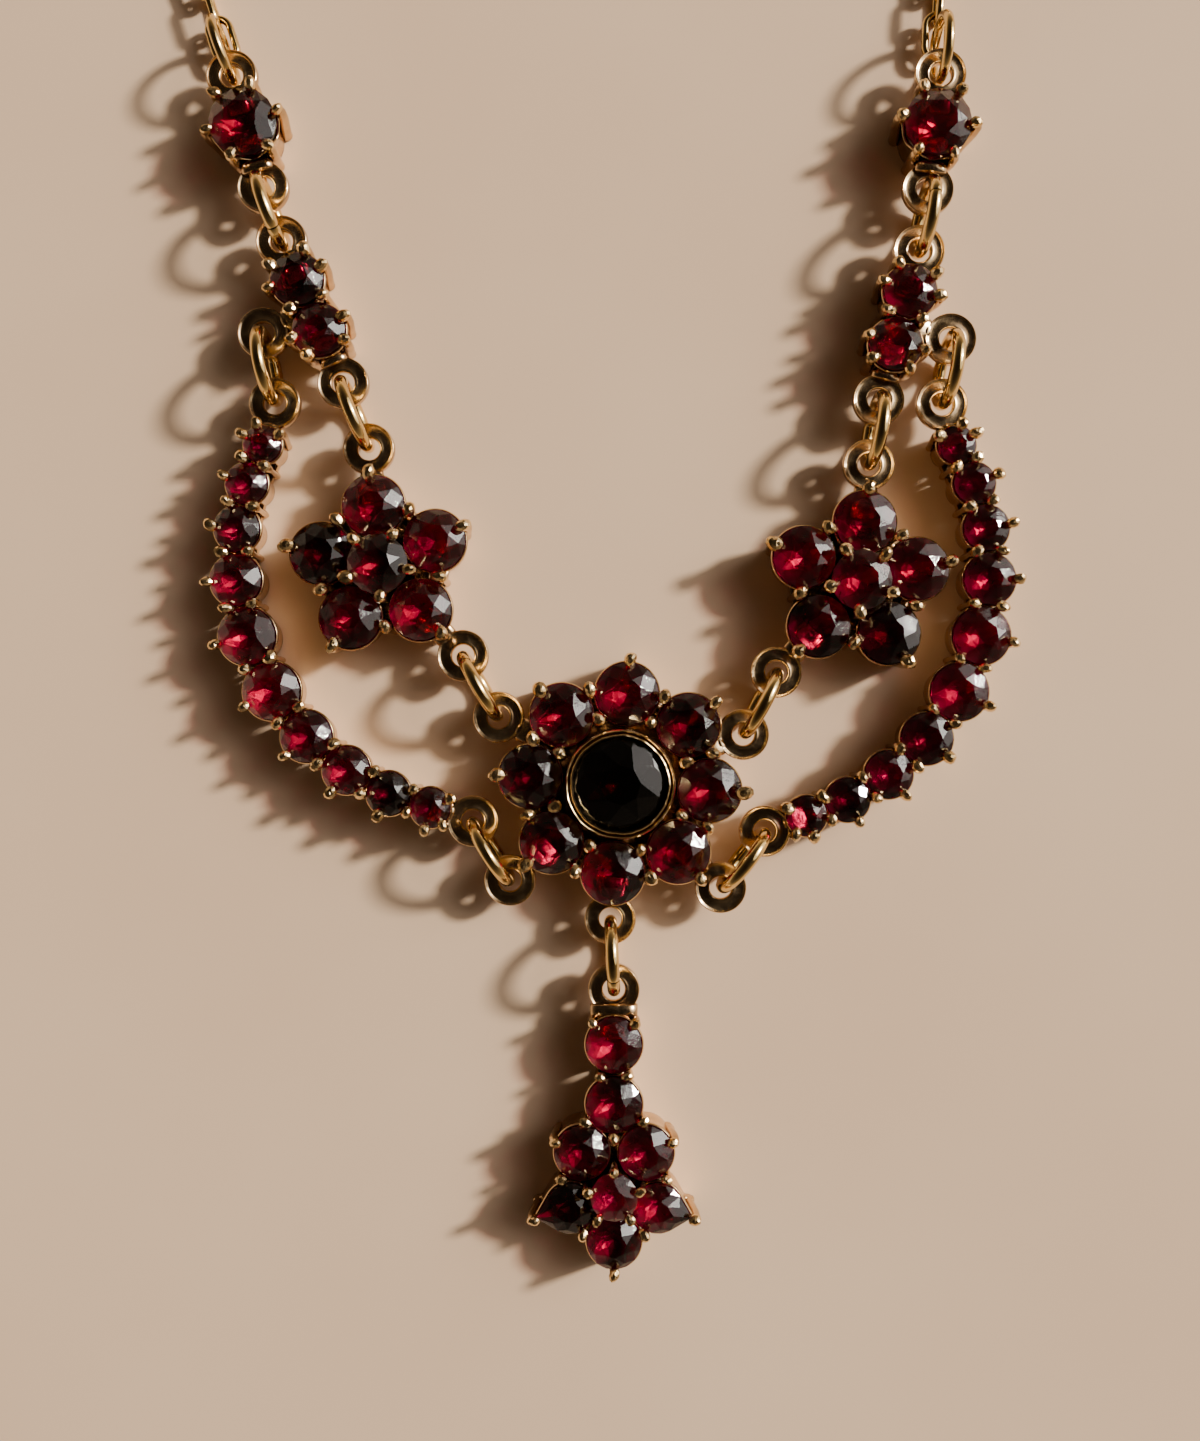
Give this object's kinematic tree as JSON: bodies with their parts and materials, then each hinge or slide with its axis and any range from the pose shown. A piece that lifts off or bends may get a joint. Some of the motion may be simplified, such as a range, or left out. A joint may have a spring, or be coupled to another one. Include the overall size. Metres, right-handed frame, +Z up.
{
  "type": "cluster necklace",
  "caption": "Festoon necklace of faceted red stones in claw settings: a rosette with a hanging drop, side flowers and arcs on jump rings, and a fine cable chain.",
  "frame": {"origin": "under the middle of the whole necklace's box, on the surface it lies on", "axes": "+X to the right and -Y towards the drop as seen from above, +Z up; the closed loop lies flat in XY"},
  "size_m": [0.085, 0.1832, 0.0041],
  "materials": {
    "gold": "polished yellow metal with soft wear",
    "garnet": "faceted and polished, deep red"
  },
  "bodies": {
    "root": {"centre_setting": "gold", "centre_stone": "garnet", "pendant_setting": "gold", "clasp": "gold", "centre_petal_1": "garnet", "centre_petal_2": "garnet", "centre_petal_3": "garnet", "centre_petal_4": "garnet", "centre_petal_5": "garnet", "centre_petal_6": "garnet", "centre_petal_7": "garnet", "centre_petal_8": "garnet", "left_double_stone_1": "garnet", "left_double_stone_2": "garnet", "right_double_stone_1": "garnet", "right_double_stone_2": "garnet", "stem_stone_1": "garnet", "stem_stone_2": "garnet", "shoulder_stone_left": "garnet", "shoulder_stone_right": "garnet", "pear_stone_left": "garnet", "pear_stone_right": "garnet", "foot_stone": "garnet", "pendant_heart_stone": "garnet", "ring_left_single_double": "gold", "ring_left_double_flower": "gold", "ring_left_double_arc": "gold", "ring_left_flower_centre": "gold", "ring_left_arc_centre": "gold", "ring_right_single_double": "gold", "ring_right_double_flower": "gold", "ring_right_double_arc": "gold", "ring_right_flower_centre": "gold", "ring_right_arc_centre": "gold", "ring_pendant": "gold", "left_single_setting": "gold", "left_single_stone": "garnet", "left_double_setting": "gold", "left_flower_setting": "gold", "left_flower_heart_stone": "garnet", "left_flower_petals": "garnet", "left_arc_setting": "gold", "left_arc_stones": "garnet", "left_end_ring": "gold", "left_chain": "gold", "right_single_setting": "gold", "right_single_stone": "garnet", "right_double_setting": "gold", "right_flower_setting": "gold", "right_flower_heart_stone": "garnet", "right_flower_petals": "garnet", "right_arc_setting": "gold", "right_arc_stones": "garnet", "right_end_ring": "gold", "right_chain": "gold"}
  },
  "joints": []
}
